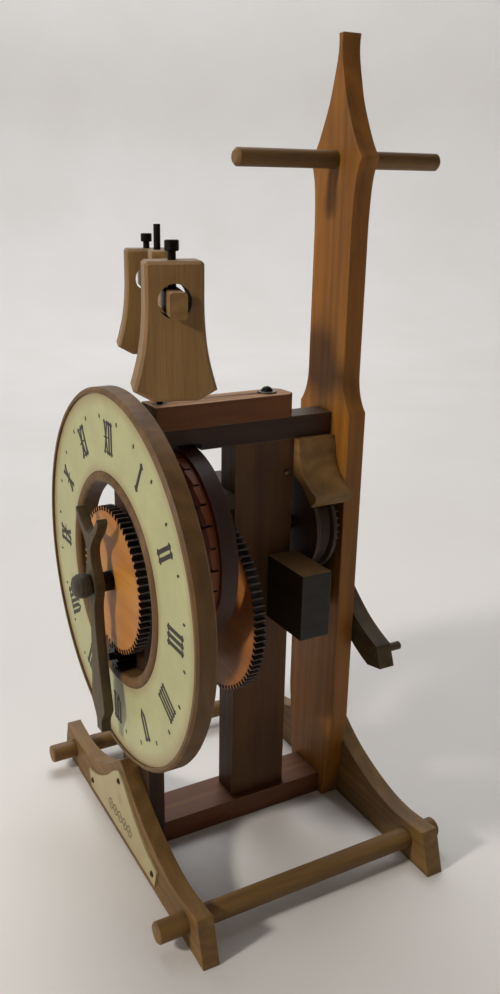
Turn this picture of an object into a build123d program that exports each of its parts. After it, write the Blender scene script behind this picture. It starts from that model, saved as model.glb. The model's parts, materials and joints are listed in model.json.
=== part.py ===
from build123d import *
from math import atan2, cos, degrees, hypot, pi, radians, sin, sqrt
import os

# Table clock with a foliot balance, frame and wheels of wood.
# Millimetres. +Z up, dial faces -Y, X = 0 is the plane of symmetry, Z = 0 is the table.
# Drawn with Y = 0 at the front face of the front foot and of the cream dial sheet; each solid
# is moved at the end by half the depth over the feet, so the origin is midway between them.

os.makedirs("parts", exist_ok=True)

# ---- frame ------------------------------------------------------------------------------
FOOT_HALF, FOOT_HALF_TOP, FOOT_END_H = 104.0, 96.5, 24.6
FOOT_PEAK = 55.2
FRONT_FOOT_Y = (0.0, 9.2)
FRONT_POST_Y, FRONT_POST_HALF = (9.2, 19.2), 18.6
MID_POST_Y, MID_POST_HALF = (68.0, 103.8), 8.0
REAR_POST_Y = (128.2, 139.2)
REAR_FOOT_Y = (139.2, 149.4)
BASE_HALF, BASE_H = 12.5, 13.8
ROD_X, ROD_Z, ROD_R, ROD_Y = 83.6, 12.5, 5.5, (-16.0, 159.4)
BEAM_Z, BLOCK_Z = (232.4, 244.6), (244.6, 257.2)
BLOCK_Y, BLOCK_HALF = (22.0, 103.6), 9.2
CROSS_Z, CROSS_R, CROSS_Y = 373.4, 4.4, (69.5, 194.6)
TENON_R = 3.2                        # shouldered ends of the cross dowels, inside the post

# ---- dial -------------------------------------------------------------------------------
DIAL_Z, DIAL_R, FACE_R = 166.3, 100.5, 97.7
DIAL_Y = (-1.3, 9.2)
HOLE_R, BEAD_R, BEAD_H = 51.6, 57.6, 1.6   # raised bead around the opening
FACE_T = 0.8

# ---- wheelwork: module, teeth, planes ---------------------------------------------------
MODULE = 1.2
HOUR_N, MOTION_N = 64, 10            # hour wheel and the leaves that drive it
MOTION_WHEEL_N, DRIVER_N = 24, 12    # motion wheel and the driver on the main arbor
GREAT_N, IDLER_LEAVES, IDLER_N, CROWN_LEAVES = 84, 12, 36, 12
DRUM_N, DRUM_LEAVES = 36, 27
HOUR_Y, GREAT_Y, IDLER_Y = (-1.2, 4.8), (57.0, 63.0), (45.8, 50.6)
MOTION_Y, DRUM_WHEEL_Y = (46.0, 51.0), (121.4, 126.6)
HOUR_C = (0.0, DIAL_Z)
MOTION_C = (0.0, DIAL_Z - MODULE * (HOUR_N + MOTION_N) / 2)
MAIN_C = (0.0, MOTION_C[1] + MODULE * (MOTION_WHEEL_N + DRIVER_N) / 2)
DRUM_C = (0.0, MAIN_C[1] + MODULE * (DRUM_N + DRUM_LEAVES) / 2)
CROWN_C = (0.0, DRUM_C[1])
REACH_MAIN = MODULE * (GREAT_N + IDLER_LEAVES) / 2
REACH_CROWN = MODULE * (IDLER_N + CROWN_LEAVES) / 2
_gap = CROWN_C[1] - MAIN_C[1]
_rise = (REACH_MAIN ** 2 - REACH_CROWN ** 2 + _gap ** 2) / (2 * _gap)
IDLER_C = (-sqrt(REACH_MAIN ** 2 - _rise ** 2), MAIN_C[1] + _rise)

ARBOR_R, MAIN_R, HOUR_R = 2.0, 4.0, 3.0
RUN = 0.06                           # radial running clearance
CROWN_RIM, CROWN_Y = 53.5, (36.0, 45.0)
CROWN_RING, CROWN_TEETH, CROWN_TIP_Y = (45.5, 51.0), 29, 31.0
DRUM_R, DRUM_Y = 28.0, (108.4, 121.4)
HAND_Y, KNOB_Y = (-12.7, -7.2), (-22.2, -12.7)

# ---- verge and foliot -------------------------------------------------------------------
VERGE_Y, VERGE_R, VERGE_Z = 28.2, 1.65, (124.6, 343.0)
FOLIOT_ANGLE = -19.0
BAR_HALF, BAR_W, BAR_Z = 90.0, 7.0, (308.4, 318.8)
BOSS_HALF, BOSS_Z = 12.0, (301.0, 331.4)
WEIGHT_IN, WEIGHT_OUT = 54.1, 76.4
WEIGHT_HOLE_Z, WEIGHT_HOLE_R = 314.2, 6.95
PALLET_REACH = 2.6                   # short of the crown teeth at every swing of the foliot


def front_plane(y):
    """Sketch plane at depth y: local x is X, local y is Z, extrusion runs towards -Y."""
    return Plane(origin=(0, y, 0), x_dir=(1, 0, 0), z_dir=(0, -1, 0))


def slab(face, y_range):
    """Extrude a face drawn in X-Z over a range of Y."""
    placed = front_plane(y_range[1]) * face
    return extrude(placed, amount=y_range[1] - y_range[0])


def box(x, y, z):
    """Box from three (low, high) ranges."""
    size = [high - low for low, high in (x, y, z)]
    return Pos(*[(low + high) / 2 for low, high in (x, y, z)]) * Box(*size)


def rod(centre, radius, y_range):
    """Cylinder along Y about centre = (x, z)."""
    return slab(Pos(*centre) * Circle(radius), y_range)


def pin(x, y, radius, z_range):
    """Cylinder along Z."""
    return Pos(x, y, sum(z_range) / 2) * Cylinder(radius, z_range[1] - z_range[0])


def turned(centre, profile):
    """Solid of revolution about the Y line through centre; profile is (radius, y) points."""
    line = make_face(Polyline(*[(radius, y) for radius, y in profile], close=True))
    body = revolve(line, axis=Axis.Y)
    return Pos(centre[0], 0, centre[1]) * body


def polar(radius, angle):
    return (radius * cos(radians(angle)), radius * sin(radians(angle)))


def toothed(count, phase, bore, addendum=0.95, dedendum=1.2, fill=0.40):
    """Clock tooth form: radial flanks under the pitch circle, rounded tips above it."""
    pitch_r = MODULE * count / 2
    half = fill * 180 / count
    form = [(-dedendum, 1.0), (0.0, 1.0), (0.45 * addendum, 0.80), (0.82 * addendum, 0.50),
            (addendum, 0.22)]
    points = []
    for k in range(count):
        mid = phase + 360 * k / count
        points += [polar(pitch_r + MODULE * h, mid - half * w) for h, w in form]
        points += [polar(pitch_r + MODULE * h, mid + half * w) for h, w in reversed(form)]
    face = make_face(Polyline(*points, close=True))
    return face - Circle(bore) if bore else face


def spoked(face, centre_r, rim_r, count, width, start=90.0):
    """Cut windows between straight spokes, from the hub circle to the rim circle."""
    windows = Circle(rim_r) - Circle(centre_r)
    for k in range(count):
        arm = Rot(0, 0, start + 360 * k / count) * (Pos(rim_r / 2, 0) * Rectangle(rim_r, width))
        windows -= arm
    return face - windows


def bearing_angle(a, b):
    """Direction from centre a to centre b, degrees from +X towards +Z."""
    return degrees(atan2(b[1] - a[1], b[0] - a[0]))


def tooth_at(centre, other):
    """Phase that puts a tooth on the line to the other centre."""
    return bearing_angle(centre, other)


def gap_at(centre, other, count):
    """Phase that puts a tooth gap on the line to the other centre."""
    return bearing_angle(centre, other) + 180 / count


def at(centre, face):
    return Pos(*centre) * face


parts = {}

# ---- feet -------------------------------------------------------------------------------
profile = [(0, FOOT_PEAK), (6.0, 51.4), (14.0, 45.0), (25.0, 37.2), (38.0, 30.8),
           (50.0, 26.3), (63.0, 23.1), (76.0, 22.2), (87.0, 23.2), (FOOT_HALF_TOP, FOOT_END_H)]
crest = Spline(*profile[1:], tangents=[(0.80, -0.60), (0.97, 0.24)])
half_foot = Polyline(profile[-1], (FOOT_HALF, 0), (0, 0), profile[0], profile[1])
half_face = make_face([crest, *half_foot.edges()])
foot_face = half_face + mirror(half_face, about=Plane.YZ)
rod_holes = [Pos(side * ROD_X, ROD_Z) * Circle(ROD_R) for side in (-1, 1)]
foot_face = foot_face - rod_holes
parts["front_foot"] = slab(foot_face, FRONT_FOOT_Y)
parts["rear_foot"] = slab(foot_face, REAR_FOOT_Y)
for name, side in (("side_rod_left", -1), ("side_rod_right", 1)):
    body = rod((side * ROD_X, ROD_Z), ROD_R, ROD_Y)
    parts[name] = chamfer(body.edges().filter_by(GeomType.CIRCLE), 0.8)

# ---- base board, posts and beam ---------------------------------------------------------
parts["base_board"] = box((-BASE_HALF, BASE_HALF), (FRONT_POST_Y[1], REAR_POST_Y[0]), (0, BASE_H))

front_post = box((-FRONT_POST_HALF, FRONT_POST_HALF), FRONT_POST_Y, (0, BEAM_Z[0]))
front_post -= rod(HOUR_C, HOUR_R + RUN, FRONT_POST_Y)
front_post -= rod(MOTION_C, ARBOR_R + RUN, FRONT_POST_Y)
parts["front_post"] = front_post

middle_post = box((-MID_POST_HALF, MID_POST_HALF), MID_POST_Y, (BASE_H, BEAM_Z[0]))
middle_post -= rod(MAIN_C, MAIN_R + RUN, MID_POST_Y)
middle_post -= rod(DRUM_C, MAIN_R + RUN, (78, MID_POST_Y[1]))
parts["middle_post"] = middle_post

finial = [(1.9, 431.0), (2.0, 420.0), (4.2, 411.0), (5.8, 405.0), (8.2, 398.0), (11.4, 391.0),
          (16.6, 381.0)]
shank = [(18.6, 365.0), (17.1, 354.0), (16.5, 342.0), (16.5, 329.0)]
flare = [(16.6, 266.0), (17.6, 257.0), (20.4, 250.0), (23.4, 246.0)]
edges = [Line((0, 431.0), finial[0]), Spline(*finial, (22.2, CROSS_Z)),
         Spline((22.2, CROSS_Z), *shank), Line(shank[-1], flare[0]), Spline(*flare),
         Polyline(flare[-1], (23.6, 60.0), (17.2, 0), (0, 0), (0, 431.0))]
half_post = make_face([edge for item in edges for edge in item.edges()])
post_face = half_post + mirror(half_post, about=Plane.YZ)
rear_post = slab(post_face, REAR_POST_Y)
rear_post -= rod(MAIN_C, MAIN_R + RUN, REAR_POST_Y)
rear_post -= rod(DRUM_C, MAIN_R + RUN, REAR_POST_Y)
rear_post -= rod((0, CROSS_Z), TENON_R, REAR_POST_Y)
parts["rear_post"] = rear_post
post_middle = sum(REAR_POST_Y) / 2
for name, free_end, shoulder in (("cross_dowel_front", CROSS_Y[0], REAR_POST_Y[0]),
                                 ("cross_dowel_rear", CROSS_Y[1], REAR_POST_Y[1])):
    body = rod((0, CROSS_Z), CROSS_R, sorted((free_end, shoulder)))
    free_edge = body.edges().filter_by(GeomType.CIRCLE).sort_by(Axis.Y)[0 if free_end < shoulder else -1]
    tenon = rod((0, CROSS_Z), TENON_R, sorted((shoulder, post_middle)))
    parts[name] = chamfer(free_edge, 1.4) + tenon

notch_y = (24.0, 47.5)
beam = box((-8.0, 8.0), (FRONT_POST_Y[0], REAR_POST_Y[0]), BEAM_Z)
beam -= box((-8.0, 8.0), notch_y, (BEAM_Z[0], 236.2))
beam -= pin(0, VERGE_Y, 2.6, BEAM_Z)
parts["top_beam"] = beam

block = box((-BLOCK_HALF, BLOCK_HALF), BLOCK_Y, BLOCK_Z)
rear_corners = block.edges().filter_by(Axis.Z).sort_by(Axis.Y)[-2:]
block = chamfer(rear_corners, 3.6)
block -= pin(0, VERGE_Y, 4.0, BLOCK_Z)
SCREW_Y = 91.0
block -= pin(0, SCREW_Y, 1.6, BLOCK_Z)
parts["arm_block"] = block
parts["block_washer"] = pin(0, SCREW_Y, 5.2, (BLOCK_Z[1], BLOCK_Z[1] + 0.9)) - \
    pin(0, SCREW_Y, 1.6, (BLOCK_Z[1], BLOCK_Z[1] + 0.9))
head_z = BLOCK_Z[1] + 0.9
dome = Pos(0, SCREW_Y, head_z - 0.9) * Sphere(3.4) & box((-5, 5), (SCREW_Y - 5, SCREW_Y + 5),
                                                       (head_z, head_z + 5))
dome -= box((-5, 5), (SCREW_Y - 0.45, SCREW_Y + 0.45), (head_z + 1.6, head_z + 5))
parts["block_screw"] = dome + pin(0, SCREW_Y, 1.6, (BLOCK_Z[0], head_z))
verge_bush = pin(0, VERGE_Y, 4.0, BLOCK_Z) - pin(0, VERGE_Y, VERGE_R + RUN, BLOCK_Z)
parts["verge_bush"] = verge_bush

# ---- name plate -------------------------------------------------------------------------
plate_arc = Spline((0, 48.6), (5.5, 45.2), (14.0, 38.0), (26.0, 28.5), (39.0, 21.2), (51.5, 17.6),
                   tangents=[(0.75, -0.66), (0.97, -0.2)])
plate_half = make_face([*plate_arc.edges(),
                        *Polyline((51.5, 17.6), (48.5, 6.6), (0, 6.6), (0, 48.6)).edges()])
plate_face = plate_half + mirror(plate_half, about=Plane.YZ)
NAILS = {"plate_nail_left": (-45.5, 12.6), "plate_nail_top": (0.0, 41.6),
         "plate_nail_right": (45.5, 12.6)}
plate = slab(plate_face, (-1.2, 0.0))
for centre in NAILS.values():
    plate -= rod(centre, 0.8, (-1.2, 0.0))
parts["name_plate"] = plate
for name, centre in NAILS.items():
    shaft = rod(centre, 0.8, (-1.2, 0.0))
    cap = turned(centre, [(0, -2.3), (0.9, -2.1), (1.7, -1.6), (1.9, -1.2), (0, -1.2)])
    parts[name] = cap + shaft

# ---- dial -------------------------------------------------------------------------------
dial_profile = [(HOLE_R, FACE_T), (FACE_R, FACE_T), (FACE_R, DIAL_Y[0]),
                (DIAL_R - 1.2, DIAL_Y[0]), (DIAL_R, DIAL_Y[0] + 1.2), (DIAL_R, DIAL_Y[1] - 1.0),
                (DIAL_R - 1.0, DIAL_Y[1]), (HOLE_R, DIAL_Y[1])]
bead_lines = [ThreePointArc((HOLE_R, FACE_T), ((HOLE_R + BEAD_R) / 2, -BEAD_H), (BEAD_R, FACE_T)),
              Line((BEAD_R, FACE_T), (HOLE_R, FACE_T))]
bead = revolve(make_face([edge for item in bead_lines for edge in item.edges()]), axis=Axis.Y)
parts["dial_board"] = turned(HOUR_C, dial_profile) + Pos(HOUR_C[0], 0, HOUR_C[1]) * bead
parts["dial_face"] = slab(at(HOUR_C, Circle(FACE_R) - Circle(BEAD_R)), (0.0, FACE_T))

# ---- hour hand --------------------------------------------------------------------------
arrow = [(0, -84.8), (3.6, -84.8), (3.6, -79.0), (4.6, -76.5), (9.4, -70.0), (9.0, -66.0)]
blade = [(9.0, -66.0), (6.6, -52.0), (4.6, -36.0), (3.4, -22.0), (3.6, -12.0), (6.2, -5.0)]
horn_outer = [(6.2, 5.0), (4.3, 10.0), (2.9, 15.0), (3.4, 20.5), (7.0, 25.6), (11.4, 29.6), (16.4, 36.8)]
horn_inner = [(14.8, 38.6), (10.4, 33.6), (5.4, 29.6), (0, 27.8)]
hand_lines = [Polyline(*arrow), Spline(*blade), Line(blade[-1], horn_outer[0]), Spline(*horn_outer),
              Line(horn_outer[-1], horn_inner[0]), Spline(*horn_inner, tangents=[(-0.5, -0.86), (-1, 0)]),
              Line(horn_inner[-1], arrow[0])]
half_hand = make_face([edge for item in hand_lines for edge in item.edges()])
hand_face = half_hand + mirror(half_hand, about=Plane.YZ) + Circle(7.4)
hand_face = Rot(0, 0, 3.0) * hand_face - Circle(HOUR_R)
parts["hour_hand"] = slab(at(HOUR_C, hand_face), HAND_Y)
ARBOR_FRONT = HAND_Y[0] - 7.0
knob = [(0, KNOB_Y[0]), (3.4, KNOB_Y[0]), (5.2, KNOB_Y[0] + 0.9), (6.3, KNOB_Y[0] + 2.9),
        (6.6, KNOB_Y[0] + 5.2), (6.1, KNOB_Y[1] - 1.7), (4.9, KNOB_Y[1]), (HOUR_R, KNOB_Y[1]),
        (HOUR_R, ARBOR_FRONT), (0, ARBOR_FRONT)]
parts["hand_knob"] = turned(HOUR_C, knob)
arbor = [(0, ARBOR_FRONT), (HOUR_R, ARBOR_FRONT), (HOUR_R, HAND_Y[1]), (5.2, HAND_Y[1]),
         (5.2, HOUR_Y[0]), (HOUR_R, HOUR_Y[0]), (HOUR_R, 23.6), (0, 23.6)]
parts["hour_arbor"] = turned(HOUR_C, arbor)
parts["hour_collar"] = rod(HOUR_C, 6.0, (19.6, 23.4)) - rod(HOUR_C, HOUR_R, (19.6, 23.4))

# ---- wheels -----------------------------------------------------------------------------
hour_hub = rod(HOUR_C, 9.0, (HOUR_Y[1], 8.8)) - rod(HOUR_C, HOUR_R, (HOUR_Y[1], 8.8))
hour_face = toothed(HOUR_N, tooth_at(HOUR_C, MOTION_C), HOUR_R)
parts["hour_wheel"] = slab(at(HOUR_C, hour_face), HOUR_Y) + hour_hub

leaves = at(MOTION_C, toothed(MOTION_N, gap_at(MOTION_C, HOUR_C, MOTION_N), 0))
parts["motion_arbor"] = slab(leaves, (-1.6, 8.8)) + rod(MOTION_C, ARBOR_R, (-4.6, MOTION_Y[1]))
motion_face = toothed(MOTION_WHEEL_N, gap_at(MOTION_C, MAIN_C, MOTION_WHEEL_N), ARBOR_R)
parts["motion_wheel"] = slab(at(MOTION_C, motion_face), MOTION_Y)

driver_face = toothed(DRIVER_N, tooth_at(MAIN_C, MOTION_C), 2.6)
parts["motion_driver"] = slab(at(MAIN_C, driver_face), MOTION_Y)
great_face = toothed(GREAT_N, tooth_at(MAIN_C, IDLER_C), MAIN_R)
parts["great_wheel"] = slab(at(MAIN_C, great_face), GREAT_Y)
main = [(0, MOTION_Y[0]), (2.6, MOTION_Y[0]), (2.6, 52.4), (MAIN_R, 52.4), (MAIN_R, 151.4),
        (0, 151.4)]
parts["main_arbor"] = turned(MAIN_C, main)

RATCHET_N, RATCHET_R, RATCHET_Y = 12, 10.6, (52.6, 56.4)
ratchet_points = []
for k in range(RATCHET_N):
    ratchet_points += [polar(RATCHET_R, 360 * k / RATCHET_N),
                       polar(RATCHET_R - 2.4, 360 * k / RATCHET_N + 1.5)]
ratchet_face = make_face(Polyline(*ratchet_points, close=True)) - Circle(MAIN_R)
parts["ratchet_wheel"] = slab(at(MAIN_C, ratchet_face), RATCHET_Y)
click_pivot = (MAIN_C[0] + 14.5, MAIN_C[1] + 11.0)
click_tip = (MAIN_C[0] + 10.9, MAIN_C[1] + 1.0)
lean = bearing_angle(click_pivot, click_tip)
length = hypot(click_pivot[0] - click_tip[0], click_pivot[1] - click_tip[1])
click_face = make_face(Polyline((-1.5, 2.6), (length, 0.5), (length, -0.4), (-1.5, -2.6), close=True))
click_face += Circle(3.0)
click = slab(at(click_pivot, Rot(0, 0, lean) * click_face), (52.9, 56.4))
CLICK_PIN_R = 1.2
parts["click"] = click + rod(click_pivot, CLICK_PIN_R, (56.4, GREAT_Y[1]))
parts["great_wheel"] -= rod(click_pivot, CLICK_PIN_R + RUN, GREAT_Y)

drum_leaves = toothed(DRUM_LEAVES, tooth_at(MAIN_C, DRUM_C), MAIN_R)
parts["drum_pinion"] = slab(at(MAIN_C, drum_leaves), DRUM_WHEEL_Y)
drum_face = toothed(DRUM_N, gap_at(DRUM_C, MAIN_C, DRUM_N), MAIN_R)
parts["drum_wheel"] = slab(at(DRUM_C, drum_face), DRUM_WHEEL_Y)
parts["drum_arbor"] = rod(DRUM_C, MAIN_R, (79.0, 141.2))
drum_profile = [(MAIN_R, DRUM_Y[0]), (DRUM_R, DRUM_Y[0]), (DRUM_R, DRUM_Y[0] + 2.0), (25.2, 111.6),
                (24.6, 115.0), (25.2, 118.2), (DRUM_R, DRUM_Y[1] - 2.0), (DRUM_R, DRUM_Y[1]),
                (MAIN_R, DRUM_Y[1])]
parts["rope_drum"] = turned(DRUM_C, drum_profile)

idler_leaves = toothed(IDLER_LEAVES, gap_at(IDLER_C, MAIN_C, IDLER_LEAVES), 0)
parts["idler_arbor"] = slab(at(IDLER_C, idler_leaves), (56.8, 63.4)) + \
    rod(IDLER_C, ARBOR_R, (IDLER_Y[0], 80.0))
idler_face = toothed(IDLER_N, tooth_at(IDLER_C, CROWN_C), ARBOR_R)
parts["idler_wheel"] = slab(at(IDLER_C, idler_face), IDLER_Y)

# ---- crown wheel, its fixed stud and the frame pieces that carry it ---------------------
STUD_R = 2.5
web = Circle(CROWN_RING[0] + 1) - Circle(STUD_R + RUN)
web = spoked(web, 13, 40.5, 5, 8.0)
crown = slab(at(CROWN_C, web), (38.6, 43.0))
crown += rod(CROWN_C, CROWN_RIM, CROWN_Y) - rod(CROWN_C, 43.5, CROWN_Y)
crown += rod(CROWN_C, 8.5, CROWN_Y) - rod(CROWN_C, STUD_R + RUN, CROWN_Y)
ring = rod(CROWN_C, CROWN_RING[1], (CROWN_TIP_Y, CROWN_Y[0])) - \
    rod(CROWN_C, CROWN_RING[0], (CROWN_TIP_Y, CROWN_Y[0]))
step = 2 * pi * CROWN_RING[1] / CROWN_TEETH
SLIT_W, SLIT_D, TIP_SLOPE = 1.1, 3.8, 1.1
notch = make_face(Polyline((-SLIT_W / 2, CROWN_TIP_Y - 0.5), (-SLIT_W / 2, CROWN_TIP_Y + SLIT_D),
                           (SLIT_W / 2, CROWN_TIP_Y + SLIT_D), (SLIT_W / 2, CROWN_TIP_Y - 0.5),
                           close=True))
notch += make_face(Polyline((SLIT_W / 2 - 0.8 * step, CROWN_TIP_Y - 0.01),
                            (-SLIT_W / 2 + 0.05, CROWN_TIP_Y + TIP_SLOPE),
                            (-SLIT_W / 2 + 0.05, CROWN_TIP_Y - 0.01), close=True))
cutter = extrude(Plane.XY * notch, amount=20)
cutter = Pos(0, 0, CROWN_RING[0] - 5) * cutter
for k in range(CROWN_TEETH):
    ring -= Pos(CROWN_C[0], 0, CROWN_C[1]) * (Rot(0, 360 * k / CROWN_TEETH, 0) * cutter)
parts["crown_wheel"] = crown + ring
crown_phase = gap_at(CROWN_C, IDLER_C, CROWN_LEAVES)
parts["crown_pinion"] = slab(at(CROWN_C, toothed(CROWN_LEAVES, crown_phase, STUD_R + RUN)),
                             (CROWN_Y[1], 51.2))
stud = [(0, 33.2), (4.2, 33.2), (4.2, 35.6), (STUD_R, 35.6), (STUD_R, 56.4), (0, 56.4)]
parts["crown_stud"] = turned(CROWN_C, stud)

plate_y = (52.0, 56.4)
COCK_Z = (MAIN_C[1] + MODULE * (GREAT_N / 2 + 0.95) + 2.2, 206.0)
cock = make_face(Polyline((-33.0, 186.0), (-33.0, 206.0), (8.0, 206.0), (8.0, 171.5), (-6.5, 171.5),
                          (-16.5, 186.0), close=True))
potence = slab(cock, plate_y) + box((-8.0, 8.0), (plate_y[0], MID_POST_Y[0]), COCK_Z)
potence -= rod(IDLER_C, ARBOR_R + RUN, plate_y)
potence -= rod(CROWN_C, STUD_R, plate_y)
parts["potence"] = potence
bracket = box((-35.0, -8.0), (68.0, 82.0), (186.0, 206.0))
bracket -= rod(IDLER_C, ARBOR_R + RUN, (68.0, 80.6))
parts["idler_bracket"] = bracket
step_block = box((-9.0, 9.0), (FRONT_POST_Y[1], 34.4), (109.5, 127.4))
step_block -= rod(MOTION_C, ARBOR_R + RUN, (FRONT_POST_Y[1], 34.4))
step_block -= pin(0, VERGE_Y, VERGE_R + RUN, (VERGE_Z[0] - 0.2, 127.4))
parts["step_block"] = step_block

# ---- drum guard, side block, crank ------------------------------------------------------
guard_edge = Spline((13.5, 225.0), (16.4, 216.0), (22.6, 209.6), (30.8, 205.6))
saddle_r = 31.2
saddle_x = 26.4
saddle_z = DRUM_C[1] + sqrt(saddle_r ** 2 - saddle_x ** 2)
arc = ThreePointArc((saddle_x, saddle_z), (saddle_r * 0.5, DRUM_C[1] + saddle_r * sqrt(0.75)),
                    (0, DRUM_C[1] + saddle_r))
guard_lines = [Line((0, BEAM_Z[0]), (12.0, BEAM_Z[0])), Line((12.0, BEAM_Z[0]), (13.5, 225.0)),
               guard_edge, Polyline((30.8, 205.6), (30.8, 202.4), (saddle_x, saddle_z)), arc,
               Line((0, DRUM_C[1] + saddle_r), (0, BEAM_Z[0]))]
half_guard = make_face([edge for item in guard_lines for edge in item.edges()])
parts["drum_guard"] = slab(half_guard + mirror(half_guard, about=Plane.YZ),
                           (MID_POST_Y[1] + 0.4, REAR_POST_Y[0]))
parts["side_block"] = box((MID_POST_HALF, 43.4), (89.6, 107.8), (129.2, 167.0))
parts["post_pin"] = turned((0, 0), [(0, 0), (1.6, 0), (1.6, 0.9), (0.8, 1.5), (0, 1.5)])
parts["post_pin"] = Pos(MID_POST_HALF, 100.2, 213.6) * (Rot(0, 0, -90) * parts["post_pin"])

CRANK_Y = (141.0, 151.0)
crank_top = [(5.2, -4.5), (12.8, -11.1), (24.1, -19.7), (32.3, -24.3), (44.2, -29.2)]
crank_under = [(37.2, -44.2), (19.8, -35.6), (4.0, -22.5), (-6.0, -6.5)]
crank_lines = [Spline(*crank_top), Polyline(crank_top[-1], (48.9, -41.7), crank_under[0]),
               Spline(*crank_under), Line(crank_under[-1], crank_top[0])]
crank_face = make_face([edge for item in crank_lines for edge in item.edges()]) + Circle(6.6)
crank = slab(at(MAIN_C, crank_face), CRANK_Y) - rod(MAIN_C, MAIN_R, CRANK_Y)
CRANK_PIN_R, CRANK_PIN_C = 2.4, (41.8, MAIN_C[1] - 33.6)
crank -= rod(CRANK_PIN_C, CRANK_PIN_R, CRANK_Y)
parts["crank_arm"] = crank
parts["crank_pin"] = rod(CRANK_PIN_C, CRANK_PIN_R, (CRANK_Y[0], 159.2))

# ---- verge, foliot bar, bell weights ----------------------------------------------------
to_foliot = Pos(0, VERGE_Y, 0) * Rot(0, 0, FOLIOT_ANGLE)
staff = pin(0, 0, VERGE_R, VERGE_Z)
parts["verge_staff"] = to_foliot * staff


def pallet(angle, z_range):
    """Flag on the verge: a small plate with a sleeve round the staff."""
    plate = box((0, PALLET_REACH), (-0.55, 0.55), z_range)
    sleeve = pin(0, 0, VERGE_R + 0.9, (z_range[0] + 0.6, z_range[1] - 0.6))
    flag = (plate + sleeve) - pin(0, 0, VERGE_R, z_range)
    return to_foliot * (Rot(0, 0, angle) * flag)


mean_r = (CROWN_RING[0] + CROWN_RING[1]) / 2
parts["pallet_upper"] = pallet(64.0, (CROWN_C[1] + mean_r - 3.6, CROWN_C[1] + mean_r + 2.8))
parts["pallet_lower"] = pallet(154.0, (CROWN_C[1] - mean_r - 2.8, CROWN_C[1] - mean_r + 3.6))

bar_end = Rectangle(BAR_W, BAR_Z[1] - BAR_Z[0])
bar_end = fillet(bar_end.vertices().sort_by(Axis.Y)[-2:], 1.3)
bar_end = chamfer(bar_end.vertices().sort_by(Axis.Y)[:2], 1.0)
bar_plane = Plane(origin=(-BAR_HALF, 0, sum(BAR_Z) / 2), x_dir=(0, 1, 0), z_dir=(1, 0, 0))
bar = extrude(bar_plane * bar_end, amount=2 * BAR_HALF)
boss = box((-BOSS_HALF, BOSS_HALF), (-BAR_W / 2, BAR_W / 2), BOSS_Z)
boss = fillet(boss.edges().filter_by(Axis.Y), 2.0)
bar = bar + boss - pin(0, 0, VERGE_R, BOSS_Z)
parts["foliot_bar"] = to_foliot * bar

bell = [(12.0, 314.9), (12.3, 306.0), (12.9, 299.0), (14.2, 290.8), (16.0, 283.6), (17.6, 278.2)]
bell_side = Spline(*bell, tangents=[(0.0, -1.0), (0.32, -0.95)])
bell_lines = [Polyline((0, 329.8), (10.8, 329.8), (12.0, 328.6), bell[0]), bell_side,
              Polyline(bell[-1], (9.6, 273.8), (0, 273.8), (0, 329.8))]
half_bell = make_face([edge for item in bell_lines for edge in item.edges()])
bell_face = half_bell + mirror(half_bell, about=Plane.YZ)
bell_face -= Pos(0, WEIGHT_HOLE_Z) * Circle(WEIGHT_HOLE_R)
SCREW_HOLE_R = 1.8
for name, side in (("right", 1), ("left", -1)):
    bell_plane = Plane(origin=(WEIGHT_IN if side > 0 else -WEIGHT_OUT, 0, 0), x_dir=(0, 1, 0),
                       z_dir=(1, 0, 0))
    weight = extrude(bell_plane * bell_face, amount=WEIGHT_OUT - WEIGHT_IN)
    rims = weight.faces().sort_by(Axis.X)
    outer = [edge for face in (rims[0], rims[-1]) for edge in face.outer_wire().edges()]
    weight = chamfer(outer, 1.3)
    middle = side * (WEIGHT_IN + WEIGHT_OUT) / 2
    weight -= pin(middle, 0, SCREW_HOLE_R, (BAR_Z[1], 331.0))
    parts["weight_" + name] = to_foliot * weight
    head = pin(middle, 0, 3.0, (333.2, 337.6))
    head = chamfer(head.edges().filter_by(GeomType.CIRCLE), 0.4)
    screw = head + pin(middle, 0, SCREW_HOLE_R - RUN, (BAR_Z[1] + 0.1, 333.2))
    parts["thumb_screw_" + name] = to_foliot * screw

to_origin = Pos(0, -(FRONT_FOOT_Y[0] + REAR_FOOT_Y[1]) / 2, 0)
for name, solid in parts.items():
    export_step(to_origin * solid, os.path.join("parts", name + ".step"))
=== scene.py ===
import json
from math import atan2, cos, hypot, pi, radians, sin

import bmesh
import bpy
from mathutils import Matrix, Vector


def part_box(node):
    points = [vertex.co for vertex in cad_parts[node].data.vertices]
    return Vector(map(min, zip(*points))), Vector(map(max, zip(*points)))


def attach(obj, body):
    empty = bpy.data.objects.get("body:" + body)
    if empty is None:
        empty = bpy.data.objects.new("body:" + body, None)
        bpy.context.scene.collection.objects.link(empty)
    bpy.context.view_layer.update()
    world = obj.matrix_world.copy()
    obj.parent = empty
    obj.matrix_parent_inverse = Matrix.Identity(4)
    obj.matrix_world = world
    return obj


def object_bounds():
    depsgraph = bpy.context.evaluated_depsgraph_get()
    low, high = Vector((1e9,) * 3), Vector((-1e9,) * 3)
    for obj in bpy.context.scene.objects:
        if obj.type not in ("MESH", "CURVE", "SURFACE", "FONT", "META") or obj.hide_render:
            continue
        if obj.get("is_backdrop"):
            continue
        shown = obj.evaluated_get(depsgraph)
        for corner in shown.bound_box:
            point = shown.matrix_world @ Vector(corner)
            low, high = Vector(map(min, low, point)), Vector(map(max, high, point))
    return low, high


# Looks for a wooden-wheel foliot clock. Metres; +Z up, the dial faces -Y.

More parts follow.
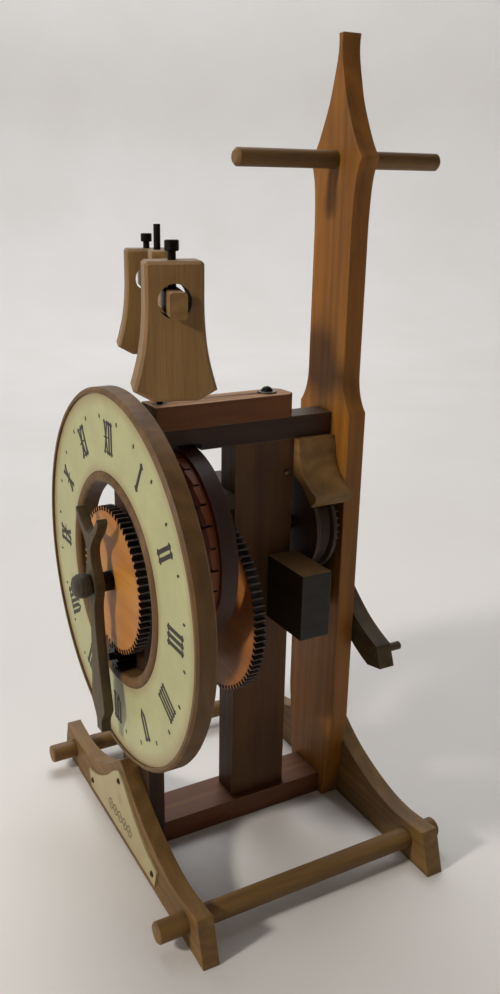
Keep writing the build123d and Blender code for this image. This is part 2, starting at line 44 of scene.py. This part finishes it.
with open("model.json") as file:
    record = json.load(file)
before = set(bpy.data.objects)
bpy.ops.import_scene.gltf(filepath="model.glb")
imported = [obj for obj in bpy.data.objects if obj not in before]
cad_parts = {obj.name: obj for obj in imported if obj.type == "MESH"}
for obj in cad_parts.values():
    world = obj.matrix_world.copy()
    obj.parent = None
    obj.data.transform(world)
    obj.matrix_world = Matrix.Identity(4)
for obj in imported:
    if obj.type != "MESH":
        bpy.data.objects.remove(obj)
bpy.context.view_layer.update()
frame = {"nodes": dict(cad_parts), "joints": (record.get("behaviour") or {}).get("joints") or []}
NODES = frame["nodes"]
JOINTS = {joint["name"]: joint for joint in frame["joints"]}

face_low, face_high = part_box("dial_face")
DIAL_X, DIAL_Z = (face_low.x + face_high.x) / 2, (face_low.z + face_high.z) / 2
DIAL_FRONT = face_low.y
DIAL_R = (face_high.x - face_low.x) / 2


# ---- shader building --------------------------------------------------------------------
def rgb(text):
    """Linear colour from an sRGB hex string."""
    parts = [int(text[k:k + 2], 16) / 255 for k in (0, 2, 4)]
    return tuple(c / 12.92 if c <= 0.04045 else ((c + 0.055) / 1.055) ** 2.4 for c in parts) + (1.0,)


class Shader:
    """One material under construction: adds shader nodes and links them."""

    def __init__(self, name):
        self.material = bpy.data.materials.new(name)
        self.material.use_nodes = True
        self.tree = self.material.node_tree
        self.tree.nodes.clear()
        self.place = self.node("TexCoord").outputs["Object"]

    def node(self, kind, sockets=None, **settings):
        item = self.tree.nodes.new("ShaderNode" + kind)
        for key, value in settings.items():
            setattr(item, key, value)
        for key, value in (sockets or {}).items():
            if isinstance(value, bpy.types.NodeSocket):
                self.tree.links.new(value, item.inputs[key])
            else:
                item.inputs[key].default_value = value
        return item

    def math(self, operation, a, b=0.0, clamp=False):
        item = self.node("Math", {0: a, 1: b}, operation=operation, use_clamp=clamp)
        return item.outputs[0]

    def mix(self, factor, a, b, blend="MIX"):
        item = self.node("Mix", data_type="RGBA", blend_type=blend)
        for index, value in ((0, factor), (6, a), (7, b)):
            if isinstance(value, bpy.types.NodeSocket):
                self.tree.links.new(value, item.inputs[index])
            else:
                item.inputs[index].default_value = value
        return item.outputs[2]

    def ramp(self, factor, stops):
        """Colour or grey ramp; stops are (position, colour or level)."""
        item = self.node("ValToRGB", {0: factor})
        elements = item.color_ramp.elements
        while len(elements) < len(stops):
            elements.new(0.5)
        for element, (position, value) in zip(elements, stops):
            element.position = position
            element.color = value if isinstance(value, tuple) else (value, value, value, 1.0)
        return item.outputs[0]

    def mapping(self, vector, turn=(0, 0, 0), scale=(1, 1, 1), shift=(0, 0, 0)):
        sockets = {"Vector": vector, "Rotation": turn, "Scale": scale, "Location": shift}
        return self.node("Mapping", sockets).outputs[0]

    def noise(self, vector, scale, detail=3.0, rough=0.55, distortion=0.0):
        sockets = {"Vector": vector, "Scale": scale, "Detail": detail, "Roughness": rough,
                   "Distortion": distortion}
        return self.node("TexNoise", sockets).outputs[0]

    def edge(self, radius):
        """0 on flat faces, rising on convex and concave edges within the radius."""
        soft = self.node("Bevel", {"Radius": radius}, samples=4).outputs[0]
        true = self.node("NewGeometry").outputs["Normal"]
        meet = self.node("VectorMath", {0: soft, 1: true}, operation="DOT_PRODUCT").outputs["Value"]
        return self.math("SUBTRACT", 1.0, meet, clamp=True)

    def hollow(self, distance):
        """1 in the open, falling towards 0 in corners and under overhangs; colours multiplied by it get
        painted shade.
        """
        return self.node("AmbientOcclusion", {"Distance": distance}, samples=6).outputs["AO"]

    def axis_distance(self, x, z):
        """Distance from the Y line through x, z."""
        at = self.node("SeparateXYZ", {0: self.place}).outputs
        across, up = self.math("SUBTRACT", at[0], x), self.math("SUBTRACT", at[2], z)
        square = self.math("ADD", self.math("POWER", across, 2.0), self.math("POWER", up, 2.0))
        return self.math("SQRT", square)

    def facing_y(self):
        """1 on faces that look along Y, 0 on those that stand across it."""
        normal = self.node("TexCoord").outputs["Normal"]
        part = self.node("SeparateXYZ", {0: normal}).outputs[1]
        return self.math("GREATER_THAN", self.math("ABSOLUTE", part), 0.6)

    def finish(self, colour, roughness, height=None, bump=0.3, depth=0.0003, **constants):
        """The material itself; constants are shader inputs that are the same all over."""
        shader = self.node("BsdfPrincipled", {"Base Color": colour, "Roughness": roughness})
        for key, value in constants.items():
            shader.inputs[key.replace("_", " ")].default_value = value
        if height is not None:
            sockets = {"Height": height, "Strength": bump, "Distance": depth}
            self.tree.links.new(self.node("Bump", sockets).outputs[0], shader.inputs["Normal"])
        output = self.node("OutputMaterial")
        self.tree.links.new(shader.outputs[0], output.inputs[0])
        return self.material


GRAIN_TURN = {"X": (0, radians(90), 0), "Y": (radians(90), 0, 0), "Z": (0, 0, 0)}


def grain_field(s, grain, seed, turn=0.0):
    """Coordinates whose Z runs along the grain; turn swings them about the vertical first."""
    level = s.mapping(s.place, turn=(0, 0, -turn))
    along = s.mapping(level, turn=GRAIN_TURN[grain])
    return s.mapping(along, shift=(0.37 * seed, 0.21 * seed, 0.11 * seed))


def wood(name, dark, mid, light, grain="Z", seed=1.0, worn=None, worn_width=0.0012, rough=0.55,
         figure=1.0, turn=0.0, painted_top_light=None):
    """Oiled, open-pored wood: broad figure, growth lines, pores, worn edges, painted shade in corners.

    The paler tone given for faces that look up is painted light, as if lit from above.
    """
    s = Shader(name)
    field = grain_field(s, grain, seed, turn)
    broad = s.noise(s.mapping(field, scale=(1, 1, 0.10)), 60 * figure, 4, 0.6, 0.6)
    warp = s.mapping(field, scale=(1, 1, 0.06))
    lines = s.node("TexWave", {"Vector": warp, "Scale": 42 * figure, "Distortion": 7.0, "Detail": 3.0,
                               "Detail Scale": 1.6}, wave_type="BANDS", bands_direction="X").outputs["Fac"]
    tone = s.math("ADD", s.math("MULTIPLY", broad, 0.86), s.math("MULTIPLY", lines, 0.14))
    colour = s.ramp(tone, [(0.18, dark), (0.50, mid), (0.82, light)])
    pores = s.noise(s.mapping(field, scale=(1, 1, 0.035)), 1500, 2, 0.6)
    pore_dark = s.ramp(pores, [(0.36, 0.55), (0.50, 1.0)])
    colour = s.mix(0.35, colour, pore_dark, "MULTIPLY")
    blotch = s.ramp(s.noise(field, 22, 3), [(0.3, 0.80), (0.7, 1.12)])
    colour = s.mix(0.6, colour, blotch, "MULTIPLY")
    if worn:
        patchy = s.noise(field, 170, 3)
        edge = s.math("MULTIPLY", s.edge(worn_width), s.math("MULTIPLY", patchy, 5.0), clamp=True)
        colour = s.mix(s.math("MULTIPLY", edge, 0.75), colour, worn)
    # Painted light: faces that look up are mixed towards a paler tone.
    if painted_top_light:
        normal = s.node("TexCoord").outputs["Normal"]
        top = s.math("GREATER_THAN", s.node("SeparateXYZ", {0: normal}).outputs[2], 0.8)
        colour = s.mix(s.math("MULTIPLY", top, 0.85), colour, painted_top_light)
    # Painted shade: the colour is darkened in corners and under overhangs.
    painted_shade = s.ramp(s.hollow(0.010), [(0.25, 0.50), (0.75, 1.0)])
    colour = s.mix(0.8, colour, painted_shade, "MULTIPLY")
    gloss = s.math("ADD", s.math("MULTIPLY", pores, 0.22), rough - 0.10)
    height = s.math("ADD", s.math("MULTIPLY", pores, 0.6), s.math("MULTIPLY", lines, 0.4))
    return s.finish(colour, gloss, height, 0.35, 0.00025, Specular_IOR_Level=0.38)


PLY = 0.0015                # one layer of the wheels' plywood
SCORCH_BAND = 0.0042        # burnt ring inside the tooth tips
TIP_SKIN = 0.00012          # how deep a tooth tip is worn


def gear_wood(name, face_dark, face_light, flank, centre, tip_radius, seed=1.0, tip="6e625e",
              worn=None):
    """Plywood wheel: warm flat faces, burnt dark tooth flanks, worn tooth tips."""
    s = Shader(name)
    field = grain_field(s, "X", seed, 0.0)
    broad = s.noise(s.mapping(field, scale=(1, 1, 0.12)), 70, 4, 0.6, 0.5)
    fibre = s.noise(s.mapping(field, scale=(1, 1, 0.04)), 1300, 2, 0.6)
    face = s.ramp(broad, [(0.30, face_dark), (0.70, face_light)])
    face = s.mix(0.35, face, s.ramp(fibre, [(0.35, 0.62), (0.52, 1.0)]), "MULTIPLY")
    radius = s.axis_distance(*centre)
    scorch = s.math("SUBTRACT", radius, tip_radius - SCORCH_BAND)
    scorch = s.math("MULTIPLY", scorch, 150.0, clamp=True)
    face = s.mix(s.math("MULTIPLY", scorch, s.ramp(broad, [(0.35, 0.25), (0.65, 0.7)])), face, rgb("4a2410"))
    plies = s.node("SeparateXYZ", {0: s.place}).outputs[1]
    plies = s.math("SINE", s.math("MULTIPLY", plies, 2 * pi / PLY))
    side = s.mix(s.math("MULTIPLY", plies, 0.25, clamp=True), flank, rgb("2a1810"))
    on_tip = s.math("GREATER_THAN", radius, tip_radius - TIP_SKIN)
    side = s.mix(s.math("MULTIPLY", on_tip, 0.85), side, rgb(tip))
    colour = s.mix(s.facing_y(), side, face)
    if worn:
        colour = s.mix(s.math("MULTIPLY", s.edge(0.0007), 2.5, clamp=True), colour, worn)
    # Painted shade: the colour is darkened strongly in corners, slits and under overhangs.
    painted_shade = s.ramp(s.hollow(0.006), [(0.2, 0.25), (0.8, 1.0)])
    colour = s.mix(0.9, colour, painted_shade, "MULTIPLY")
    return s.finish(colour, s.math("ADD", s.math("MULTIPLY", fibre, 0.25), 0.38), fibre, 0.25, 0.0002,
                    Specular_IOR_Level=0.4)


def cream_sheet(name, tones, centre, inner, outer):
    """Varnished cream card, toned brown towards both edges, faintly mottled and stained."""
    s = Shader(name)
    radius = s.axis_distance(*centre)
    field = s.mapping(s.place, shift=(0.3, 0.1, 0.2))
    mottle = s.noise(field, 55, 4, 0.6)
    colour = s.ramp(mottle, list(zip((0.30, 0.55, 0.75), tones)))
    ragged = s.math("MULTIPLY", s.math("SUBTRACT", s.noise(field, 38, 3), 0.5), 0.006)
    reach = s.math("ADD", radius, ragged)
    rim = s.math("MULTIPLY", s.math("SUBTRACT", reach, outer - 0.0075), 1 / 0.010, clamp=True)
    hub = s.math("MULTIPLY", s.math("SUBTRACT", inner + 0.0050, reach), 1 / 0.009, clamp=True)
    tone = s.math("MULTIPLY", s.math("ADD", rim, hub, clamp=True), 0.8)
    colour = s.mix(tone, colour, rgb("8c6a42"))
    specks = s.node("TexVoronoi", {"Vector": field, "Scale": 260.0}).outputs["Distance"]
    colour = s.mix(s.ramp(specks, [(0.03, 0.55), (0.09, 0.0)]), colour, rgb("7c6c44"))
    fine = s.noise(field, 900, 2)
    return s.finish(colour, s.math("ADD", s.math("MULTIPLY", mottle, 0.2), 0.33), fine, 0.12, 0.0001,
                    Specular_IOR_Level=0.45)


def aged_metal(name, colour, dull, rough, metal=1.0):
    """Metal with darker dull patches, fine scratches and painted shade where pieces meet."""
    s = Shader(name)
    field = s.mapping(s.place, shift=(0.5, 0.2, 0.7))
    patch = s.noise(field, 240, 4, 0.6)
    scratch = s.noise(s.mapping(field, scale=(1, 12, 12)), 350, 3)
    base = s.mix(s.ramp(patch, [(0.35, 0.0), (0.65, 1.0)]), colour, dull)
    # Painted shade: the colour darkens in corners and where pieces meet.
    base = s.mix(0.7, base, s.ramp(s.hollow(0.003), [(0.2, 0.4), (0.8, 1.0)]), "MULTIPLY")
    gloss = s.math("ADD", s.math("MULTIPLY", scratch, 0.3), rough - 0.1)
    return s.finish(base, gloss, scratch, 0.15, 0.0001, Metallic=metal)


def ink(name, colour, wear):
    """Printed or burnt line: slightly uneven dark tone."""
    s = Shader(name)
    uneven = s.noise(s.place, 700, 3)
    base = s.mix(s.ramp(uneven, [(0.42, 0.0), (0.68, 1.0)]), colour, wear)
    return s.finish(base, s.math("ADD", s.math("MULTIPLY", uneven, 0.2), 0.45), uneven, 0.2, 0.00005)


def paper(name):
    """Pale studio floor, very faintly mottled."""
    s = Shader(name)
    tone = s.noise(s.place, 3.0, 3)
    base = s.ramp(tone, [(0.3, rgb("e4ddd5")), (0.7, rgb("eae4dd"))])
    return s.finish(base, 0.8)


# ---- materials on the CAD nodes ---------------------------------------------------------
WORN = rgb("7d6747")
SLIDE_AXIS = JOINTS["right_weight_slide"]["axis"]
FOLIOT_TURN = atan2(SLIDE_AXIS[1], SLIDE_AXIS[0])


def dress(node, material):
    """Give a CAD node one material."""
    mesh = NODES[node].data
    mesh.materials.clear()
    mesh.materials.append(material)


BROWN = {"dark": rgb("57401f"), "mid": rgb("77572c"), "light": rgb("946f39")}
GOLDEN = {"dark": rgb("6f4310"), "mid": rgb("925c18"), "light": rgb("ad7021")}
DARK = {"dark": rgb("29180c"), "mid": rgb("3b2313"), "light": rgb("4d3018")}
REDDISH = {"dark": rgb("522b0e"), "mid": rgb("6b3b13"), "light": rgb("834d1c")}
GREYED = {"dark": rgb("4b361b"), "mid": rgb("694b26"), "light": rgb("805d31")}
OLIVE = {"dark": rgb("654927"), "mid": rgb("856337"), "light": rgb("9e7949")}
SHADED = {"dark": rgb("382e1b"), "mid": rgb("4e3f26"), "light": rgb("605031")}
BLACKENED = {"dark": rgb("29241b"), "mid": rgb("3b3427"), "light": rgb("4d4333")}
SMOKED = {"dark": rgb("1a1610"), "mid": rgb("252018"), "light": rgb("312a20")}
WALNUT = {"dark": rgb("40260d"), "mid": rgb("553412"), "light": rgb("6c4519")}

WOODS = [
    ("front_foot", BROWN, "X", 1.0), ("rear_foot", BROWN, "X", 2.0),
    ("side_rod_left", BROWN, "Y", 3.0), ("side_rod_right", BROWN, "Y", 4.0),
    ("base_board", REDDISH, "Y", 5.0), ("front_post", DARK, "Z", 6.0),
    ("middle_post", WALNUT, "Z", 7.0), ("rear_post", GOLDEN, "Z", 8.0),
    ("cross_dowel_front", BROWN, "Y", 9.0), ("cross_dowel_rear", BROWN, "Y", 9.5),
    ("top_beam", DARK, "Y", 10.0), ("arm_block", REDDISH, "Y", 11.0), ("dial_board", GREYED, "Z", 12.0),
    ("drum_guard", OLIVE, "X", 13.0), ("side_block", SMOKED, "X", 14.0),
    ("potence", DARK, "X", 15.0), ("idler_bracket", DARK, "X", 16.0),
    # rope_drum and verge_bush are given the dark tone as painted shade, for the shade they sit in.
    ("step_block", DARK, "Y", 17.0), ("rope_drum", DARK, "Z", 18.0), ("verge_bush", DARK, "Z", 18.5),
    ("hour_hand", SHADED, "Z", 19.0), ("hand_knob", BLACKENED, "Y", 20.0),
    ("crank_arm", SHADED, "X", 21.0), ("crank_pin", SHADED, "Y", 22.0),
]
# Paler tones painted on the upward faces of these parts: painted light from above.
PAINTED_TOP_LIGHT = {"side_block": rgb("a07c50"), "arm_block": rgb("a27446"), "top_beam": rgb("5e4630")}
for node, tones, grain, seed in WOODS:
    dress(node, wood("wood_" + node, **tones, grain=grain, seed=seed, worn=WORN, painted_top_light=PAINTED_TOP_LIGHT.get(node)))
for node, seed in (("weight_left", 23.0), ("weight_right", 24.0)):
    look = wood("wood_" + node, **OLIVE, grain="Z", seed=seed, worn=rgb("8a7350"), worn_width=0.0016,
                figure=0.8, turn=FOLIOT_TURN)
    dress(node, look)
dress("foliot_bar", wood("wood_foliot_bar", **OLIVE, grain="X", seed=25.0, worn=WORN, turn=FOLIOT_TURN))

WHEELS = {
    "hour_wheel": "hour_spin", "motion_wheel": "motion_spin", "motion_driver": "main_spin",
    "great_wheel": "main_spin", "ratchet_wheel": "main_spin", "drum_pinion": "main_spin",
    "drum_wheel": "drum_spin", "idler_wheel": "idler_spin", "crown_pinion": "crown_spin",
}
WHEEL_FACES = (rgb("a8682a"), rgb("c28538"))
# The drum wheel's faces are a darkened copy of the wheel orange: painted shade under the guard.
OTHER_FACES = {"great_wheel": (rgb("985a28"), rgb("b87638")), "drum_wheel": (rgb("4e3018"), rgb("643f20"))}
for seed, (node, joint) in enumerate(WHEELS.items()):
    low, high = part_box(node)
    centre = (JOINTS[joint]["pos_m"][0], JOINTS[joint]["pos_m"][2])
    tip_radius = max(high.x - centre[0], centre[0] - low.x, high.z - centre[1], centre[1] - low.z)
    faces = OTHER_FACES.get(node, WHEEL_FACES)
    dress(node, gear_wood("ply_" + node, *faces, rgb("1c0f08"), centre, tip_radius, seed + 30.0))

crown_at = JOINTS["crown_spin"]["pos_m"]
crown_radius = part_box("crown_wheel")[1].x - crown_at[0]
dress("crown_wheel", gear_wood("ply_crown_wheel", rgb("6a3018"), rgb("84401f"), rgb("8a4724"),
                               (crown_at[0], crown_at[2]), crown_radius, seed=40.0, tip="100b0a",
                               worn=rgb("5a3c30")))

BEAD_OUTER = 0.0576                             # radius where the bead round the opening ends
PLATE_MIDDLE, PLATE_REACH = (0.0, 0.030), 0.080
DIAL_CREAM = (rgb("aaa676"), rgb("b2af7e"), rgb("bab788"))
PLATE_CREAM = (rgb("a29268"), rgb("a99a6f"), rgb("b1a277"))
dress("dial_face", cream_sheet("cream_dial", DIAL_CREAM, (DIAL_X, DIAL_Z), BEAD_OUTER, DIAL_R))
dress("name_plate", cream_sheet("cream_plate", PLATE_CREAM, PLATE_MIDDLE, 0.0, PLATE_REACH))

BLACK = aged_metal("black_steel", rgb("1c1a18"), rgb("2c2825"), 0.42)
STEEL = aged_metal("plain_steel", rgb("8a8680"), rgb("5c5852"), 0.34)
NAIL = aged_metal("nail_brass", rgb("3e2a18"), rgb("231710"), 0.5, 0.6)
for node in ("verge_staff", "pallet_upper", "pallet_lower", "thumb_screw_left", "thumb_screw_right",
             "hour_arbor", "motion_arbor", "block_screw", "idler_arbor"):
    dress(node, BLACK)
for node in ("main_arbor", "drum_arbor", "crown_stud", "block_washer", "hour_collar", "post_pin",
             "click"):
    dress(node, STEEL)
for node in ("plate_nail_left", "plate_nail_top", "plate_nail_right"):
    dress(node, NAIL)


# ---- softened wood edges ----------------------------------------------------------------
EDGE_ROUND, WELD_GAP = 0.0005, 2e-6


def soften(node, width):
    """Small rounds on a CAD node's sharp edges, by modifiers only."""
    item = NODES[node]
    weld = item.modifiers.new("weld", "WELD")
    weld.merge_threshold = WELD_GAP
    bevel = item.modifiers.new("bevel", "BEVEL")
    bevel.width, bevel.segments = width, 2
    bevel.limit_method, bevel.angle_limit = "ANGLE", radians(35)
    bevel.harden_normals = False


for node in ("front_foot", "rear_foot", "base_board", "front_post", "middle_post", "rear_post", "top_beam",
             "arm_block", "drum_guard", "side_block", "potence", "idler_bracket", "step_block",
             "crank_arm", "foliot_bar", "hour_hand"):
    soften(node, EDGE_ROUND)


# ---- printed dial -----------------------------------------------------------------------
LIFT_STEP, LIFT_RANKS = 0.12, 5     # overlapping shapes differ in height, so no two faces coincide


def mesh_object(name, mesh, material):
    """A new object in the scene, from a finished bmesh."""
    data = bpy.data.meshes.new(name)
    mesh.to_mesh(data)
    mesh.free()
    data.materials.append(material)
    item = bpy.data.objects.new(name, data)
    bpy.context.scene.collection.objects.link(item)
    return item


def plate_piece(name, outlines, front, thickness, material, body):
    """Thin raised shapes on a plane facing -Y; outlines are lists of (x, z)."""
    mesh = bmesh.new()
    for rank, outline in enumerate(outlines):
        lift = thickness * (1 + LIFT_STEP * (rank % LIFT_RANKS))
        base = [mesh.verts.new((x, front, z)) for x, z in outline]
        top = [mesh.verts.new((x, front - lift, z)) for x, z in outline]
        mesh.faces.new(base)
        mesh.faces.new(list(reversed(top)))
        for k in range(len(base)):
            mesh.faces.new((base[k], top[k], top[k - 1], base[k - 1]))
    bmesh.ops.recalc_face_normals(mesh, faces=mesh.faces)
    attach(mesh_object(name, mesh, material), body)


NUMERALS = ["I", "II", "III", "IIII", "V", "VI", "VII", "VIII", "IX", "X", "XI", "XII"]
NUMERAL_IN, NUMERAL_OUT = 0.0672, 0.0850
STROKE_PITCH, NUMERAL_WIDTH, VIII_WIDTH = 0.0038, 0.0112, 0.0172
HALF_STROKE, HALF_SPREAD = 0.00112, 0.00240         # bar half-width; half the opening of an X
ADVANCE = {"I": 1.0, "V": 1.7, "X": 1.7}


def stroke(low, high, half, foot):
    """Broad-pen stroke from low to high with a lozenge at each end, in (across, out)."""
    (x0, r0), (x1, r1) = low, high
    end = 1.5 * foot
    lean = (x1 - x0) / (r1 - r0)
    middle = [(-half, r0 + end), (-foot, r0 + 0.55 * end), (0.1 * foot, r0), (foot, r0 + 0.5 * end),
              (half, r0 + end), (half, r1 - end), (foot, r1 - 0.55 * end), (-0.1 * foot, r1),
              (-foot, r1 - 0.5 * end), (-half, r1 - end)]
    return [(x0 + lean * (r - r0) + x, r) for x, r in middle]


def vee_arm(middle, side, spread, half):
    """One arm of a black-letter V: nearly upright, then a short slant to the point."""
    knee = NUMERAL_IN + 0.30 * (NUMERAL_OUT - NUMERAL_IN)
    shoulder, neck = NUMERAL_OUT - half, NUMERAL_OUT - 2.5 * half
    outline = [(spread + 1.6 * half, shoulder), (spread, NUMERAL_OUT), (spread - 1.6 * half, shoulder),
               (spread - half, neck), (spread - half, knee), (0.0, NUMERAL_IN + 2 * half),
               (0.0, NUMERAL_IN), (spread + half, knee - half), (spread + half, neck)]
    return [(middle + side * x, r) for x, r in outline]


def numeral_strokes(text):
    """Strokes of a Roman numeral, centred, its foot towards the dial's centre."""
    units = sum(ADVANCE[letter] for letter in text)
    pitch = min(STROKE_PITCH, (VIII_WIDTH if "V" in text else NUMERAL_WIDTH) / units)
    half = HALF_STROKE * pitch / STROKE_PITCH
    foot = 1.85 * half
    place = -units * pitch / 2
    middle_r = (NUMERAL_IN + NUMERAL_OUT) / 2
    shapes = []
    for letter in text:
        middle = place + ADVANCE[letter] * pitch / 2
        spread = HALF_SPREAD * pitch / STROKE_PITCH
        if letter == "I":
            shapes.append(stroke((middle, NUMERAL_IN), (middle, NUMERAL_OUT), half, foot))
        elif letter == "V":
            shapes += [vee_arm(middle, side, 0.75 * spread, half) for side in (-1, 1)]
        else:
            for side, width in ((1, 1.0), (-1, 0.85)):
                low = (middle + side * spread, NUMERAL_IN)
                high = (middle - side * spread, NUMERAL_OUT)
                shapes.append(stroke(low, high, width * half, 0.9 * foot))
            shapes.append([(middle - 1.9 * spread, middle_r - 0.3 * half), (middle, middle_r - half),
                           (middle + 1.9 * spread, middle_r + 0.3 * half), (middle, middle_r + half)])
        place += ADVANCE[letter] * pitch
    return shapes


def on_dial(outline, angle):
    """Turn an (across, out) outline to a clock angle in radians and put it on the dial."""
    return [(DIAL_X + r * sin(angle) + a * cos(angle), DIAL_Z + r * cos(angle) - a * sin(angle))
            for a, r in outline]


DIAL_INK = ink("dial_ink", rgb("1d160d"), rgb("352b1c"))
INK_T = 0.00010
for hour, text in enumerate(NUMERALS, 1):
    shapes = [on_dial(shape, hour * pi / 6) for shape in numeral_strokes(text)]
    plate_piece("numeral_%02d" % hour, shapes, DIAL_FRONT, INK_T, DIAL_INK, "frame")

DOT_R, DOT_TURN = 0.0860, radians(7.76)
DOT_ACROSS, DOT_OUT = 0.00080, 0.00135
dot = [(DOT_ACROSS * sin(k * pi / 5), DOT_R + DOT_OUT * cos(k * pi / 5)) for k in range(10)]
dots = [on_dial(dot, hour * pi / 6 + side * DOT_TURN) for hour in range(12) for side in (-1, 1)]
plate_piece("dial_dots", dots, DIAL_FRONT, INK_T, DIAL_INK, "frame")


# ---- ornament on the name plate ---------------------------------------------------------
def ribbon(points, half):
    """Closed outlines of a thin line of constant width through points, one per span."""
    spans = []
    for (x0, z0), (x1, z1) in zip(points, points[1:]):
        length = hypot(x1 - x0, z1 - z0)
        nx, nz = (z0 - z1) / length * half, (x1 - x0) / length * half
        spans.append([(x0 + nx, z0 + nz), (x1 + nx, z1 + nz), (x1 - nx, z1 - nz), (x0 - nx, z0 - nz)])
    return spans


plate_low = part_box("name_plate")[0]
BRAID_X, BRAID_Z, BRAID_RISE = 0.0175, plate_low.z + 0.0105, 0.0034
BRAID_STEPS, BRAID_BOWS, BRAID_HALF = 60, 5, 0.00032
GEM_SPACING, GEM_X, GEM_Z = 0.4, 0.0008, 0.0016     # spacing as a share of BRAID_X
braid = []
for phase in (0, pi):
    line = [(BRAID_X * (2 * k / BRAID_STEPS - 1),
             BRAID_Z + BRAID_RISE * sin(phase + BRAID_BOWS * pi * k / BRAID_STEPS))
            for k in range(BRAID_STEPS + 1)]
    braid += ribbon(line, BRAID_HALF)
for k in range(-2, 3):
    x = k * BRAID_X * GEM_SPACING
    braid.append([(x - GEM_X, BRAID_Z), (x, BRAID_Z + GEM_Z), (x + GEM_X, BRAID_Z), (x, BRAID_Z - GEM_Z)])
plate_piece("plate_ornament", braid, plate_low.y, INK_T, ink("plate_ink", rgb("4c4026"), rgb("75683f")),
            "frame")


# ---- floor, light, camera ---------------------------------------------------------------
FLOOR_R, WALL_R, WALL_TOP, BEND = 1.9, 2.6, 2.6, 0.7
STUDIO_SIDES, FLOOR_RINGS, BEND_STEPS = 96, 5, 12


def studio():
    """Pale floor that curves up into a round wall, out of every view's way."""
    profile = [(FLOOR_R * k / FLOOR_RINGS, 0.0) for k in range(1, FLOOR_RINGS + 1)]
    for k in range(1, BEND_STEPS + 1):
        rise = k * pi / (2 * BEND_STEPS)
        profile.append((FLOOR_R + BEND * sin(rise), BEND * (1 - cos(rise))))
    profile.append((WALL_R, WALL_TOP))
    mesh = bmesh.new()
    angles = [2 * pi * k / STUDIO_SIDES for k in range(STUDIO_SIDES)]
    rings = [[mesh.verts.new((radius * cos(angle), radius * sin(angle), height)) for angle in angles]
             for radius, height in profile]
    mesh.faces.new(rings[0])
    for lower, upper in zip(rings, rings[1:]):
        for k in range(STUDIO_SIDES):
            mesh.faces.new((lower[k], lower[k - 1], upper[k - 1], upper[k]))
    for face in mesh.faces:
        face.smooth = True
    mesh_object("studio_floor", mesh, paper("studio_paper"))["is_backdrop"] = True


CLOCK_MIDDLE = (0.0, 0.0, 0.20)


def lamp(name, toward, distance, size, power, colour, spread=180.0, target=CLOCK_MIDDLE):
    """Square softbox that looks at its target from a direction; spread is in degrees."""
    light = bpy.data.lights.new(name, "AREA")
    light.size, light.energy, light.color, light.spread = size, power, colour, radians(spread)
    item = bpy.data.objects.new(name, light)
    away = Vector(toward).normalized()
    item.location = Vector(target) + away * distance
    item.rotation_euler = away.to_track_quat("Z", "Y").to_euler()
    bpy.context.scene.collection.objects.link(item)


studio()
# name, direction from the target, distance, size, power in watts, colour
lamp("key_light", (0.05, -1.0, 0.53), 1.6, 0.16, 2.6, (1.0, 0.97, 0.93), spread=80.0)
lamp("top_fill", (-0.3, 0.2, 1.0), 1.9, 1.0, 1.5, (0.95, 0.97, 1.0), spread=90.0)
lamp("wall_wash", (0.3, -0.3, 1.0), 1.6, 1.6, 50.0, (0.86, 0.92, 1.0), target=(-2.0, 0.8, 1.1))
AIR_COLOUR, AIR_STRENGTH = (0.90, 0.92, 1.0, 1.0), 0.07
world = bpy.data.worlds.new("studio_air")
world.use_nodes = True
air = world.node_tree.nodes["Background"].inputs
air["Color"].default_value, air["Strength"].default_value = AIR_COLOUR, AIR_STRENGTH
bpy.context.scene.world = world
bpy.context.scene.view_settings.view_transform = "Standard"

CAMERA_AT = Vector((0.3907, -0.2215, 0.3470))
CAMERA_AZIMUTH, CAMERA_DOWN, CAMERA_ROLL = radians(63.42), radians(19.0), radians(-0.13)
SENSOR_MM, LENS_MM = 36.0, 31.204
SHIFT_X, SHIFT_Y = 0.0541, 0.0145
camera = bpy.data.objects.new("camera", bpy.data.cameras.new("camera"))
bpy.context.scene.collection.objects.link(camera)
camera.matrix_world = (Matrix.Translation(CAMERA_AT) @ Matrix.Rotation(CAMERA_AZIMUTH, 4, "Z")
                       @ Matrix.Rotation(pi / 2 - CAMERA_DOWN, 4, "X")
                       @ Matrix.Rotation(CAMERA_ROLL, 4, "Z"))
camera.data.sensor_width, camera.data.lens = SENSOR_MM, LENS_MM
camera.data.shift_x, camera.data.shift_y = SHIFT_X, SHIFT_Y
camera.data.clip_start, camera.data.clip_end = 0.01, 20.0
bpy.context.scene.camera = camera

low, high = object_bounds()
